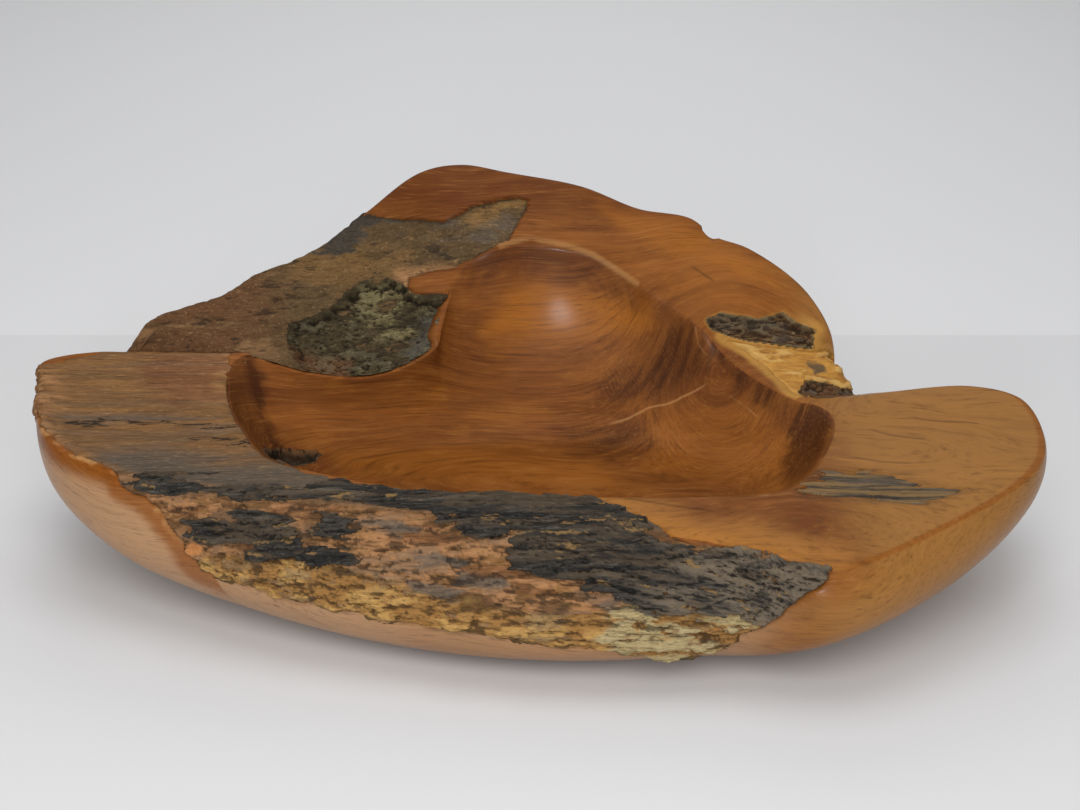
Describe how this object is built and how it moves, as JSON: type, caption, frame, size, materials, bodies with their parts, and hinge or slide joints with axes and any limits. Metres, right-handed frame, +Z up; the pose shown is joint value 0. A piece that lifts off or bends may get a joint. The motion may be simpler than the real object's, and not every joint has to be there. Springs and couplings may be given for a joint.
{
  "type": "live edge wooden bowl",
  "caption": "Root-wood bowl with a polished hollow, a tall carved back, a flat deck at each end and a front face left as weathered rind and bark",
  "frame": {"origin": "middle of the overall footprint, on the table the bowl rests on", "axes": "+X along the length to the right end seen from the bark face, +Y from the bark face to the tall back, +Z up"},
  "size_m": [0.5506, 0.291, 0.1823],
  "materials": {
    "heartwood": "hand-rubbed oil and wax, satin",
    "weathered_sapwood": "raw weathered fibre, matt",
    "pale_sapwood": "waxed, low sheen",
    "bark": "dry bark, matt",
    "crumbled_bark": "crumbly decayed bark, matt"
  },
  "bodies": {
    "root": {"heartwood_bowl": "heartwood", "live_edge_rind": "weathered_sapwood", "rear_wing_rind": "weathered_sapwood", "knot_sapwood": "pale_sapwood", "front_bark_band": "bark", "front_bark_mass": "bark", "front_bark_scab_left": "bark", "front_bark_scab_small": "bark", "rear_bark_scar": "crumbled_bark", "knot_bark_pocket": "crumbled_bark", "knot_bark_sliver": "crumbled_bark", "right_deck_bark_streak": "bark", "hollow_bark_pocket": "crumbled_bark"}
  },
  "joints": []
}
